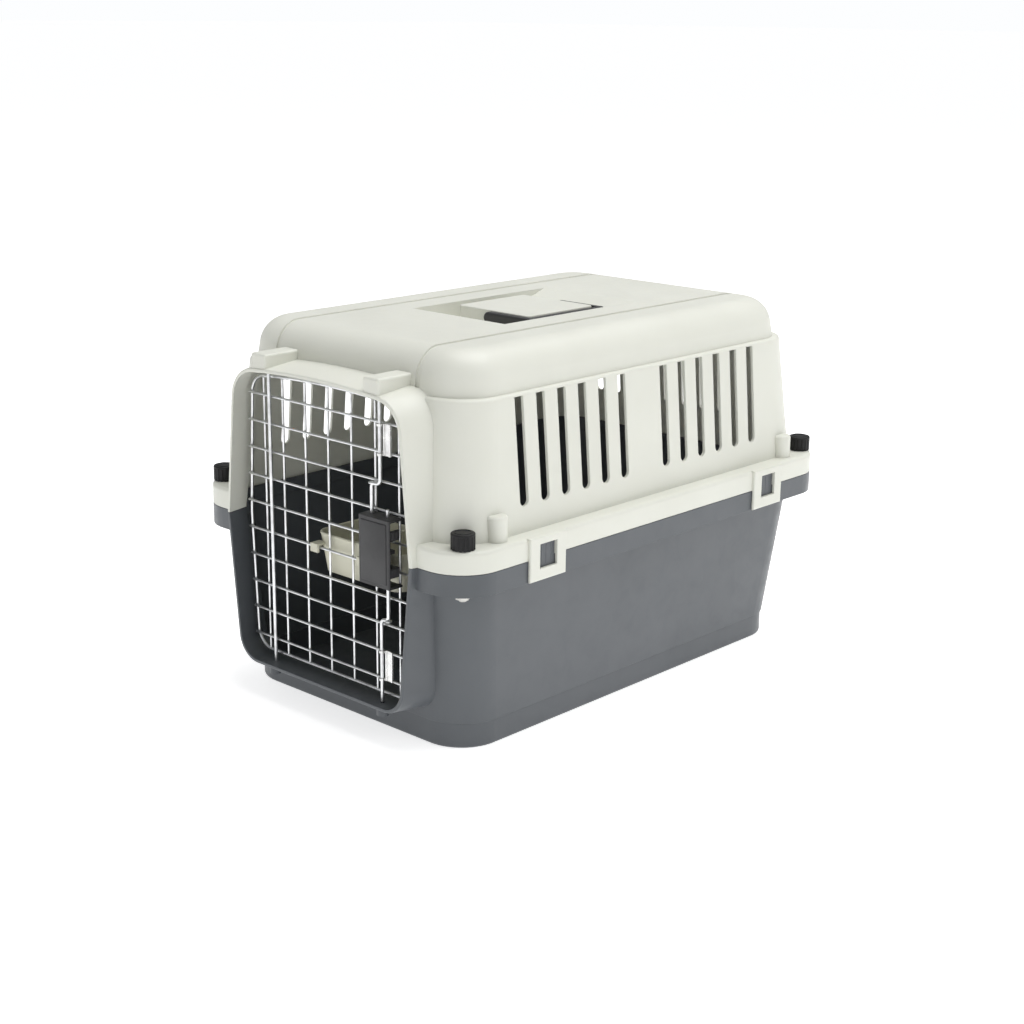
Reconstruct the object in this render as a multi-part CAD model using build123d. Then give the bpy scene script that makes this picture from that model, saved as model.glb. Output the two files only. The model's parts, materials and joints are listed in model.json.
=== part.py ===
from build123d import *
import math
import os

# Pet transport carrier: two moulded shells bolted together at a rim, a wire door in a
# projecting door surround, and a folding handle sunk in the roof.
# Millimetres. The door faces -Y, +Z is up, and the origin is under the middle of the base.

# ---------------------------------------------------------------- driving dimensions
BODY_W = 306.0            # outer width of the walls at the seam
BODY_L = 469.0            # outer length of the walls at the seam
BODY_Y = 2.5              # middle of the body along Y
BODY_R = 39.0             # plan radius of the body corners
SEAM_Z = 162.5            # height of the seam between the shells
SEAM_GAP = 0.4            # air gap between the shells at the seam
WALL = 2.6                # wall thickness of both shells
LOWER_DRAFT = 0.10        # inward lean of the lower walls, per mm of drop
UPPER_DRAFT = 0.09        # inward lean of the upper walls, per mm of rise
FOOT_H = 22.0             # height of the inset foot under the lower shell
FOOT_STEP = 1.2           # how far the foot is inset
FOOT_EDGE_R = 2.5         # rounding under the foot
SHOULDER_Z = 293.0        # height of the ledge around the roof dome
DOME_STEP = 4.0           # width of that ledge
ROOF_RISE = 35.5          # height of the dome above the ledge
DOME_DRAFT = 0.14         # inward lean of the dome sides
DOME_R = 26.0             # rounding of the dome's upper edge
HIDDEN_LAP = 1.0          # how far joined solids reach into each other
GROOVE_X = 85.0           # roof grooves, distance from the middle plane
GROOVE_W = 5.0
GROOVE_DEPTH = 1.2
GROOVE_ENDS = (16.0, 38.0)     # end walls to the grooves' ends, front and rear
SHOULDER_R = 3.0          # rounding of the ledge's outer edge

# rim around the seam
RIM_OUT = 13.5            # how far the rim stands out of the walls, sides and ends
RIM_R = 37.0              # plan radius of the rim corners
RIM_LOW_H = 18.5          # height of the lower shell's rim band
RIM_UP_H = 18.5           # height of the upper shell's rim band
RIM_T = 2.4               # thickness of the rim's plate and skirt
RIM_EDGE_R = 3.5          # rounding of the rim's top edge
LIP_H = 6.0               # height of the register lip inside the seam
LIP_T = 1.8               # thickness of that lip
LIP_CLEAR = 0.9           # clearance from the lip to the upper wall

# rim screws
SCREW_INSET = 18.5        # screw centre to the rim's outer faces
SCREW_R = 3.0             # screw radius
SCREW_CLEAR = 0.06        # running clearance around the screw
SCREW_TAIL = 5.5          # screw length below the lower rim boss
BOSS_R = 8.0              # radius of the moulded screw bosses
KNOB_R = 9.8              # hand knob radius
KNOB_H = 13.2             # hand knob height
KNOB_LIFT = 0.3           # gap between knob and rim
KNOB_GRIP = 9.0           # depth of the screw in the knob
KNOB_RIBS = 16            # grip flutes around the knob
FLUTE_R = 1.2             # flute radius
NUT_AF = 10.0             # nut across flats
NUT_H = 4.4               # nut height

# door surround (hood)
HOOD_REACH = 19.0         # how far the surround stands ahead of the body wall
HOOD_DEPTH = 40.0         # how far back the surround is carried
HOOD_SIDE_IN = 38.0       # body side to the side of the surround's front edge
HOOD_DRAFT = 0.10         # lean of its sides away from the seam
HOOD_TOP_DROP = 1.0       # shoulder to the corner height of its front edge
HOOD_CROWN = 6.0          # rise of its top edge at the middle
HOOD_LOW_RISE = 10.0      # foot height to the underside of its front edge
HOOD_TOP_R = 30.0         # rounding of its upper corners
HOOD_LOW_R = 24.0         # rounding of its lower corners
HOOD_FLARE = 8.0          # growth of its sides from front to back
HOOD_RISE = 4.0           # growth of its top from front to back
HOOD_T = 3.0              # wall thickness of the surround
HOOD_EDGE_R = 1.2         # rounding of its front edge

# vents
VENT_W = 10.0
VENT_RISE = 21.0          # rim to the bottom of the vents
VENT_DROP = 2.5           # shoulder to the top of the vents
SIDE_VENT_PITCH = 25.3
SIDE_VENT_FRONT = 73.85   # front wall to the middle of the first side vent
SIDE_VENT_REAR = 85.75    # rear wall to the middle of the last side vent
SIDE_VENT_GAP = 45.0      # least gap between the two groups on a side
REAR_VENT_PITCH = 22.5
REAR_VENT_SIDE = 45.0     # least distance from a body side to a rear vent's middle

# door
ROD_R = 1.6               # hinge rod and bolt rod radius
ROD_CLEAR = 0.06          # running clearance of the rods in their sockets
ROD_IN = 33.8             # door side to the hinge rod, and to the bolts
HINGE_BACK = 12.0         # surround's front edge to the hinge rod
BOLT_AHEAD = 1.2          # bolt rods ahead of the hinge rod, so that only it meets the cross wires
SOCKET_SPARE = 3.0        # depth of the lower sockets past a thrown bolt
SOCKET_ROOF = 5.5         # material over the blind upper sockets
HINGE_END_GAP = 1.0       # hinge rod to the bottom of its lower socket
HINGE_TOP_GAP = 1.5       # hinge rod to the end of its upper socket
WIRE_R = 1.1              # grid wire radius
FRAME_R = 1.4             # border wire radius
WELD = 0.05               # bite of a weld between two wires
PLATE_WELD = 0.01         # bite of a weld between a plate and a wire
DOOR_SIDE_GAP = 9.5       # border wire centre to the surround's inner side
DOOR_DRAFT = 0.05         # lean of the border's sides
DOOR_END_GAP = 6.0        # border wire centre to the surround's inner bottom
DOOR_TOP_GAP = 5.0        # border wire centre to the surround's inner top
DOOR_CROWN = 5.0
DOOR_CORNER_R = 17.0
WIRE_PITCH = 28.5         # pitch of the upright wires
EDGE_WIRE_INS = (21.5, 18.0)   # door sides to the outermost upright wires, left and right
WIRE_ROOM = 14.0          # least gap between an outermost wire and its neighbour
ROW_PITCH = 24.0          # pitch of the cross wires
ROW_LOW_RISE = 12.8       # bottom border wire to the first cross wire
ROW_ROOM = 10.0           # least gap between the last cross wire and the top border wire

# latch
CASE_SIDES = (16.2, 19.8)      # bolt line to the latch case's left and right sides
CASE_DROP = 24.5          # latch case below the seam
CASE_RISE = 32.5          # latch case above the seam
CASE_SET = 1.0            # latch case behind the surround's front edge
CASE_T = 1.6              # latch case wall
UPPER_TAIL_IN = 10.1      # bolt line to the upper rod's tail
LOWER_TAIL_OUT = 8.3      # bolt line to the lower rod's tail
UPPER_JOG_RISE = 25.0     # latch case to the upper rod's jog
LOWER_JOG_DROP = 31.0     # latch case to the lower rod's jog
UPPER_TAIL_END = 8.0      # upper rod's tail end above the case's bottom
LOWER_TAIL_END = 6.0      # lower rod's tail end above the case's top
BEND_R = 4.0
BOLT_CLEAR = 0.5          # drawn bolts stop this far short of the surround
BOLT_TRAVEL = 7.0         # how far a bolt is thrown into its socket
RIB_T = 3.0               # rib across the case that the springs push on
RIB_END = 5.0             # lower rod's tail to the rib's free end
PAD_GAP = 0.4             # finger pads to the case wall and to the cross wires
PAD_FRONT_GAP = 0.5       # finger pads to the case front
PAD_SET = 1.0             # finger pads inside the case's open side
PAD_TURN = 5.0            # turned edge of a finger pad, where a finger pulls
PAD_TURN_T = 2.0          # its thickness
PAD_ROD_CLEAR = 0.5       # finger pad around the other rod
PAD_T = 3.0               # finger pad thickness
SPRING_MEAN_R = 2.0
SPRING_WIRE_R = 0.3
SPRING_LEN = 10.0
SPRING_TURNS = 7
GUIDE_W = 8.5
GUIDE_T = 1.0
GUIDE_H = 26.0
UPPER_GUIDE_DROP = 14.0   # top border wire to the upper guide
LOWER_GUIDE_RISE = 13.0   # bottom border wire to the lower guide
GUIDE_TAB = 2.0
TAB_T = 1.0               # tab metal around the bolt rod
GUIDE_ROD_GAP = 0.5       # bolt rod to the plate's near edge

# pin blocks on the surround
BLOCK_W = 18.0
BLOCK_RISE = 16.0         # height of the blocks over the surround's corners
BLOCK_L = 34.0            # length of the blocks in front of the dome
BLOCK_SET = 1.0           # set-back from the front edge
BLOCK_EDGE_R = 2.0
PIN_BOSS_R = 5.0          # socket boss under the surround
PIN_BOSS_H = 8.5          # its height

# clips
TONGUE_W = 43.0
TONGUE_T = 2.4
TONGUE_GAP = 0.4
TONGUE_DROP = 18.0        # tongues below the seam
TONGUE_INS = (81.5, 84.5)      # end walls to the tongues' middles, front and rear
WINDOW_W = 20.5
WINDOW_DROP = 8.0         # window below the seam
WINDOW_RISE = 12.5        # window above the seam
TONGUE_EDGE_R = 1.2
CATCH_CLEAR = 0.6         # catch to the window's edges
CATCH_STEM = 3.0          # thickness of the catch's stem
CATCH_FOOT = 2.0          # stem wider than the window, each side

# wall bosses that stand on the rim beside the knobs
POST_R = 8.6
POST_H = 21.0             # height over the rim
POST_EDGE_R = 2.5
POST_IN = 40.0            # end walls to the bosses' middles
POST_SINK = 2.0           # boss middle inside the wall's outer face
RIB_DEEP = 2.0            # thickness of the gusset under the rim
RIB_DROP = 8.0            # gusset below the rim

# handle
RECESS_SIDE_GAP = 3.4     # handle grip to the recess side
RECESS_HALF_L = 87.0      # recess middle to the top of a ramp
RECESS_Y = 3.0            # middle of the recess along Y
RECESS_DEPTH = 14.0
RAMP_START = 2.0          # platform end to the foot of a ramp
PAD_GRIP_GAP = 1.6        # raised platform to the handle grip
PAD_HALF_L = 43.0         # half length of the platform
PAD_CORNER_R = 3.5
PAD_EDGE_R = 1.0
ARM_GAP = 1.3             # platform end to an arm's inner face
HANDLE_ARM_T = 6.4
HANDLE_REACH = 52.6       # pivot to the outer face of the grip
HANDLE_GRIP_W = 8.2
HANDLE_T = 10.0
HANDLE_PIVOT_DROP = 5.9   # roof to the handle's pivot
HANDLE_EDGE_R = 2.2
HANDLE_PIN_R = 2.2
HANDLE_PIN_CLEAR = 0.06
HANDLE_PIN_IN = 8.0       # pin length inside the platform
HANDLE_BOSS_R = 4.6
HANDLE_CORNER_R = 5.0     # rounding of the handle's outer corners
HANDLE_CAP_T = 1.4        # handle material over the end of each pin
PIN_END_GAP = 0.4         # pin to the end of its hole

# feeding bowl
BOWL_W = 106.0
BOWL_DEPTH = 63.9
BOWL_SIDE_IN = 18.5       # door side to the bowl
BOWL_GAP = 1.2            # bowl front to the grid
BOWL_ROW = 4              # cross wire that it hooks on, counted from the bottom
BOWL_RISE = 11.2          # that wire to the bowl's top edge
BOWL_H = 33.0
BOWL_WALL = 2.2
BOWL_DRAFT = 0.16
BOWL_R = 12.0
HOOK_COLUMNS = (-0.5, 1.5)     # hooks midway between upright wires, in wire pitches
HOOK_W = 9.0
HOOK_T = 2.0
HOOK_CLEAR = 0.35         # hook to wire
HOOK_DROP = 4.0           # hook's tip below the wire

# ---------------------------------------------------------------- derived places
LOW_TOP_Z = SEAM_Z - SEAM_GAP / 2
UP_LOW_Z = SEAM_Z + SEAM_GAP / 2
RIM_LOW_Z = SEAM_Z - RIM_LOW_H
RIM_TOP_Z = SEAM_Z + RIM_UP_H
RIM_HALF_W = BODY_W / 2 + RIM_OUT
RIM_HALF_L = BODY_L / 2 + RIM_OUT
ROOF_Z = SHOULDER_Z + ROOF_RISE
FRONT_WALL_Y = BODY_Y - BODY_L / 2
REAR_WALL_Y = BODY_Y + BODY_L / 2
SCREW_X = RIM_HALF_W - SCREW_INSET
SCREW_YS = (BODY_Y - RIM_HALF_L + SCREW_INSET, BODY_Y + RIM_HALF_L - SCREW_INSET)
SCREWS = {
    "front_left": (-SCREW_X, SCREW_YS[0]),
    "front_right": (SCREW_X, SCREW_YS[0]),
    "rear_left": (-SCREW_X, SCREW_YS[1]),
    "rear_right": (SCREW_X, SCREW_YS[1]),
}
TONGUE_YS = (FRONT_WALL_Y + TONGUE_INS[0], REAR_WALL_Y - TONGUE_INS[1])
WINDOW_Z = (SEAM_Z - WINDOW_DROP, SEAM_Z + WINDOW_RISE)
POST_YS = (FRONT_WALL_Y + POST_IN, REAR_WALL_Y - POST_IN)
VENT_LOW_Z = RIM_TOP_Z + VENT_RISE
VENT_TOP_Z = SHOULDER_Z - VENT_DROP
SIDE_VENT_RUN = BODY_L - SIDE_VENT_FRONT - SIDE_VENT_REAR
SIDE_VENT_COUNT = int((SIDE_VENT_RUN - SIDE_VENT_GAP) / (2 * SIDE_VENT_PITCH)) + 1
SIDE_VENT_YS = [FRONT_WALL_Y + SIDE_VENT_FRONT + SIDE_VENT_PITCH * i for i in range(SIDE_VENT_COUNT)]
SIDE_VENT_YS += [REAR_WALL_Y - SIDE_VENT_REAR - SIDE_VENT_PITCH * i for i in range(SIDE_VENT_COUNT)]
REAR_VENT_COUNT = int((BODY_W - 2 * REAR_VENT_SIDE) / REAR_VENT_PITCH) + 1

HOOD_FRONT_Y = FRONT_WALL_Y - HOOD_REACH
HOOD_HALF_W = BODY_W / 2 - HOOD_SIDE_IN
HOOD_TOP_Z = SHOULDER_Z - HOOD_TOP_DROP
HOOD_LOW_Z = FOOT_H + HOOD_LOW_RISE
BLOCK_Z = HOOD_TOP_Z + BLOCK_RISE

DOOR_HALF_W = HOOD_HALF_W - HOOD_T - DOOR_SIDE_GAP
DOOR_LOW_Z = HOOD_LOW_Z + HOOD_T + DOOR_END_GAP
DOOR_TOP_Z = HOOD_TOP_Z - HOOD_T - DOOR_TOP_GAP
ROD_X = DOOR_HALF_W - ROD_IN
HINGE_Y = HOOD_FRONT_Y + HINGE_BACK
ROD_Y = HINGE_Y - BOLT_AHEAD
SOCKET_TOP_Z = BLOCK_Z - SOCKET_ROOF
SOCKET_LOW_Z = HOOD_LOW_Z + HOOD_T + BOLT_CLEAR - BOLT_TRAVEL - SOCKET_SPARE
HINGE_TOP_Z = SOCKET_TOP_Z - HINGE_TOP_GAP
HINGE_LOW_Z = SOCKET_LOW_Z + HINGE_END_GAP
ROW_Y = HINGE_Y + ROD_R + WIRE_R - WELD
ROW_FRONT_Y = ROW_Y - WIRE_R
COLUMN_Y = ROW_Y + 2 * WIRE_R - WELD
FRAME_Y = ROW_Y + WIRE_R + FRAME_R - WELD
INNER_WIRES = int((DOOR_HALF_W - max(EDGE_WIRE_INS) - WIRE_ROOM) / WIRE_PITCH)
WIRE_XS = [EDGE_WIRE_INS[0] - DOOR_HALF_W, DOOR_HALF_W - EDGE_WIRE_INS[1]]
WIRE_XS += [WIRE_PITCH * i for i in range(-INNER_WIRES, INNER_WIRES + 1)]
ROW_LOW_Z = DOOR_LOW_Z + ROW_LOW_RISE
ROW_COUNT = int((DOOR_TOP_Z - ROW_LOW_Z - ROW_ROOM) / ROW_PITCH) + 1
ROW_ZS = [ROW_LOW_Z + ROW_PITCH * i for i in range(ROW_COUNT)]
CASE_X = (ROD_X - CASE_SIDES[0], ROD_X + CASE_SIDES[1])
CASE_Z = (SEAM_Z - CASE_DROP, SEAM_Z + CASE_RISE)
CASE_MID_Z = (CASE_Z[0] + CASE_Z[1]) / 2
CASE_FRONT_Y = HOOD_FRONT_Y + CASE_SET
CASE_BACK_Y = COLUMN_Y - WIRE_R
UPPER_TAIL_X = ROD_X - UPPER_TAIL_IN
LOWER_TAIL_X = ROD_X + LOWER_TAIL_OUT
UPPER_JOG_Z = CASE_Z[1] + UPPER_JOG_RISE
LOWER_JOG_Z = CASE_Z[0] - LOWER_JOG_DROP
UPPER_GUIDE_Z = (DOOR_TOP_Z - UPPER_GUIDE_DROP - GUIDE_H, DOOR_TOP_Z - UPPER_GUIDE_DROP)
LOWER_GUIDE_Z = (DOOR_LOW_Z + LOWER_GUIDE_RISE, DOOR_LOW_Z + LOWER_GUIDE_RISE + GUIDE_H)

RECESS_Z = ROOF_Z - RECESS_DEPTH
RECESS_HALF_W = HANDLE_REACH + RECESS_SIDE_GAP
PAD_HALF_W = HANDLE_REACH - HANDLE_GRIP_W - PAD_GRIP_GAP
HANDLE_ARM_Y = PAD_HALF_L + ARM_GAP
HANDLE_PIVOT_Z = ROOF_Z - HANDLE_PIVOT_DROP

BOWL_TOP_Z = ROW_ZS[BOWL_ROW] + BOWL_RISE
BOWL_X = (DOOR_HALF_W - BOWL_SIDE_IN - BOWL_W, DOOR_HALF_W - BOWL_SIDE_IN)
HOOK_XS = [WIRE_PITCH * c for c in HOOK_COLUMNS]


def brick(x, y, z):
    """A box from three (low, high) pairs."""
    middle = Pos((x[0] + x[1]) / 2, (y[0] + y[1]) / 2, (z[0] + z[1]) / 2)
    return middle * Box(x[1] - x[0], y[1] - y[0], z[1] - z[0])


def post(x, y, radius, z0, z1):
    """An upright cylinder."""
    return Pos(x, y, (z0 + z1) / 2) * Cylinder(radius, z1 - z0)


def bar_y(x, z, radius, y0, y1):
    """A cylinder along Y."""
    return Pos(x, (y0 + y1) / 2, z) * Rot(90, 0, 0) * Cylinder(radius, y1 - y0)


def bar_x(y, z, radius, x0, x1):
    """A cylinder along X."""
    return Pos((x0 + x1) / 2, y, z) * Rot(0, 90, 0) * Cylinder(radius, x1 - x0)


def plan(z, half_w, half_l, radius):
    """A rounded rectangle at height z, centred on the body."""
    return Plane.XY.offset(z) * (Pos(0, BODY_Y) * RectangleRounded(2 * half_w, 2 * half_l, radius))


def prism(z0, z1, half_w, half_l, radius):
    """An upright rounded-rectangle prism centred on the body."""
    return extrude(plan(z0, half_w, half_l, radius), z1 - z0)


def rim_band(z0, z1):
    """A rim band around the body, with its top outer edge rounded."""
    band = prism(z0, z1, RIM_HALF_W, RIM_HALF_L, RIM_R)
    return fillet(band.faces().sort_by(Axis.Z)[-1].edges(), RIM_EDGE_R)


def shrink_at(z):
    """How far the body wall leans in at height z."""
    return (SEAM_Z - z) * LOWER_DRAFT if z < SEAM_Z else (z - SEAM_Z) * UPPER_DRAFT


def body_plan(z, inset=0.0):
    """The body outline at height z, moved in by inset."""
    lean = shrink_at(z) + inset
    return plan(z, BODY_W / 2 - lean, BODY_L / 2 - lean, BODY_R - inset)


def body_block(z0, z1, inset=0.0):
    """The drafted body between two heights."""
    return loft([body_plan(z0, inset), body_plan(z1, inset)], ruled=True)


def hood_profile(y, grow_w, grow_h, inset):
    """The surround's outline across Y: drafted sides, crowned top, rounded corners."""
    half = HOOD_HALF_W + grow_w - inset
    top = HOOD_TOP_Z + grow_h - inset
    low = HOOD_LOW_Z - grow_h / 2 + inset
    top_half = half - HOOD_DRAFT * (top - SEAM_Z)
    low_half = half - HOOD_DRAFT * (SEAM_Z - low)
    edges = [
        Line((-low_half, low), (low_half, low)),
        Line((low_half, low), (half, SEAM_Z)),
        Line((half, SEAM_Z), (top_half, top)),
        ThreePointArc((top_half, top), (0, top + HOOD_CROWN), (-top_half, top)),
        Line((-top_half, top), (-half, SEAM_Z)),
        Line((-half, SEAM_Z), (-low_half, low)),
    ]
    face = make_face(Curve() + edges)
    upper = [v for v in face.vertices() if v.Y > SEAM_Z + 50]
    lower = [v for v in face.vertices() if v.Y < SEAM_Z - 50]
    face = fillet(upper, HOOD_TOP_R - inset)
    lower = [v for v in face.vertices() if v.Y < low + 1]
    face = fillet(lower, HOOD_LOW_R - inset)
    return Plane((0, y, 0), x_dir=(1, 0, 0), z_dir=(0, -1, 0)) * face


def hood_block(inset, front_extra=0.0, back_extra=0.0):
    """The surround as a solid, moved in by inset and carried past either end."""
    slope_w = HOOD_FLARE / HOOD_DEPTH
    slope_h = HOOD_RISE / HOOD_DEPTH
    y0 = HOOD_FRONT_Y - front_extra
    y1 = HOOD_FRONT_Y + HOOD_DEPTH + back_extra
    front = hood_profile(y0, -front_extra * slope_w, -front_extra * slope_h, inset)
    back = hood_profile(y1, HOOD_FLARE + back_extra * slope_w, HOOD_RISE + back_extra * slope_h, inset)
    return loft([front, back], ruled=True)


def rounded_hood():
    """The surround as a solid, with the outer edge of its mouth rounded."""
    block = hood_block(0)
    return fillet(block.faces().sort_by(Axis.Y)[0].edges(), HOOD_EDGE_R)


def half_space(z0, z1):
    """A slab wide enough to keep everything between two heights."""
    return brick((-400, 400), (-500, 500), (z0, z1))


def tongue_span(y):
    return (y - TONGUE_W / 2, y + TONGUE_W / 2)


def window_span(y, grow=0.0):
    return (y - WINDOW_W / 2 - grow, y + WINDOW_W / 2 + grow)


def bottom_shell():
    """The lower tub with its foot, rim band, screw bosses, catches and half the surround."""
    foot_top = shrink_at(FOOT_H) + FOOT_STEP
    foot = prism(0, FOOT_H + HIDDEN_LAP, BODY_W / 2 - foot_top, BODY_L / 2 - foot_top, BODY_R - FOOT_STEP)
    foot = fillet(foot.faces().sort_by(Axis.Z)[0].edges(), FOOT_EDGE_R)
    shell = body_block(FOOT_H, LOW_TOP_Z) + foot
    shell += prism(RIM_LOW_Z, LOW_TOP_Z, RIM_HALF_W, RIM_HALF_L, RIM_R)
    shell += rounded_hood() & half_space(0, LOW_TOP_Z)
    rim_hollow = prism(RIM_LOW_Z - 1, LOW_TOP_Z - RIM_T, RIM_HALF_W - RIM_T, RIM_HALF_L - RIM_T, RIM_R - RIM_T)
    shell -= rim_hollow - body_block(FOOT_H, LOW_TOP_Z) - hood_block(0)
    for x, y in SCREWS.values():
        shell += post(x, y, BOSS_R, RIM_LOW_Z + 0.5, LOW_TOP_Z - RIM_T + HIDDEN_LAP)
    for side in (-1, 1):
        shell += post(side * ROD_X, ROD_Y, PIN_BOSS_R, HOOD_LOW_Z - PIN_BOSS_H, HOOD_LOW_Z + HOOD_T)
        for y in POST_YS:
            rib = Plane.XZ * make_face(Polyline([
                (BODY_W / 2 - WALL, LOW_TOP_Z - HIDDEN_LAP), (RIM_HALF_W - 1, LOW_TOP_Z - HIDDEN_LAP),
                (RIM_HALF_W - 1, RIM_LOW_Z), (BODY_W / 2 - WALL, RIM_LOW_Z - RIB_DROP)], close=True))
            rib = Pos(0, y + RIB_DEEP / 2, 0) * extrude(rib, RIB_DEEP)
            shell += rib if side > 0 else mirror(rib, Plane.YZ)
    floor = WALL + 0.4
    shell -= prism(floor, FOOT_H + WALL + 1, BODY_W / 2 - foot_top - WALL, BODY_L / 2 - foot_top - WALL,
                   BODY_R - FOOT_STEP - WALL)
    shell -= body_block(FOOT_H + WALL, LOW_TOP_Z + 1, WALL)
    lip_low = LOW_TOP_Z - LIP_H
    lip = body_block(lip_low, UP_LOW_Z + LIP_H, WALL + LIP_CLEAR)
    lip += body_block(lip_low, LOW_TOP_Z, WALL - 0.4)
    lip -= body_block(lip_low - 1, UP_LOW_Z + LIP_H + 1, WALL + LIP_CLEAR + LIP_T)
    shell += lip
    shell -= hood_block(HOOD_T, 5, 5)
    for side in (-1, 1):
        for y in TONGUE_YS:
            inner = RIM_HALF_W - RIM_T - CATCH_CLEAR
            outer = RIM_HALF_W
            stem = brick((inner - CATCH_STEM, inner), window_span(y, CATCH_FOOT),
                         (LOW_TOP_Z - RIM_T, WINDOW_Z[1] - CATCH_CLEAR))
            nose = brick((inner - HIDDEN_LAP, outer), window_span(y, -CATCH_CLEAR),
                         (LOW_TOP_Z - HIDDEN_LAP, WINDOW_Z[1] - CATCH_CLEAR))
            catch = stem + nose
            shell += catch if side > 0 else mirror(catch, Plane.YZ)
    for x, y in SCREWS.values():
        shell -= post(x, y, SCREW_R + SCREW_CLEAR, RIM_LOW_Z - 1, LOW_TOP_Z + 1)
    for x, y in ((-ROD_X, HINGE_Y), (ROD_X, ROD_Y)):
        shell -= post(x, y, ROD_R + ROD_CLEAR, SOCKET_LOW_Z, HOOD_LOW_Z + HOOD_T + 2)
    return shell


def vent(axis_y, side):
    """One upright vent with a round lower end, cut through a side wall."""
    reach = (side * (BODY_W / 2 - 40), side * (BODY_W / 2 + 5))
    slot = brick((min(reach), max(reach)), (axis_y - VENT_W / 2, axis_y + VENT_W / 2),
                 (VENT_LOW_Z + VENT_W / 2, VENT_TOP_Z))
    return slot + bar_x(axis_y, VENT_LOW_Z + VENT_W / 2, VENT_W / 2, min(reach), max(reach))


def rear_vent(x):
    y0 = BODY_Y + BODY_L / 2 - 40
    y1 = BODY_Y + BODY_L / 2 + 5
    slot = brick((x - VENT_W / 2, x + VENT_W / 2), (y0, y1), (VENT_LOW_Z + VENT_W / 2, VENT_TOP_Z))
    return slot + bar_y(x, VENT_LOW_Z + VENT_W / 2, VENT_W / 2, y0, y1)


def dome_block(inset):
    """The roof dome, moved in by inset, with its upper edge rounded."""
    lean = shrink_at(SHOULDER_Z) + DOME_STEP + inset
    rise = ROOF_Z - SHOULDER_Z
    low_z = SHOULDER_Z - 4
    low = plan(low_z, BODY_W / 2 - lean, BODY_L / 2 - lean, BODY_R - inset)
    top_lean = lean + rise * DOME_DRAFT
    top = plan(ROOF_Z - inset, BODY_W / 2 - top_lean, BODY_L / 2 - top_lean, BODY_R - inset)
    block = loft([low, top], ruled=True)
    return fillet(block.faces().sort_by(Axis.Z)[-1].edges(), DOME_R - inset)


def roof_groove(side):
    """A shallow groove along the roof that follows the dome's surface over its front edge."""
    strip = brick((side * GROOVE_X - GROOVE_W / 2, side * GROOVE_X + GROOVE_W / 2),
                  (FRONT_WALL_Y + GROOVE_ENDS[0], REAR_WALL_Y - GROOVE_ENDS[1]), (SHOULDER_Z + DOME_STEP, ROOF_Z + 1))
    strip = fillet(strip.edges().filter_by(Axis.Z), GROOVE_W / 2 - 0.1)
    return strip & (dome_block(-HIDDEN_LAP) - dome_block(GROOVE_DEPTH))


def recess_block(grow, above):
    """The handle recess: level floor, and a ramp up to the roof at each end."""
    ramp = PAD_HALF_L + RAMP_START
    points = [
        (RECESS_Y - RECESS_HALF_L - grow, ROOF_Z), (RECESS_Y - ramp, RECESS_Z - grow),
        (RECESS_Y + ramp, RECESS_Z - grow), (RECESS_Y + RECESS_HALF_L + grow, ROOF_Z),
    ]
    if above:
        points += [(RECESS_Y + RECESS_HALF_L + grow, ROOF_Z + above),
                   (RECESS_Y - RECESS_HALF_L - grow, ROOF_Z + above)]
    face = Plane.YZ * make_face(Polyline(points, close=True))
    return Pos(-RECESS_HALF_W - grow, 0, 0) * extrude(face, 2 * (RECESS_HALF_W + grow))


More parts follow.
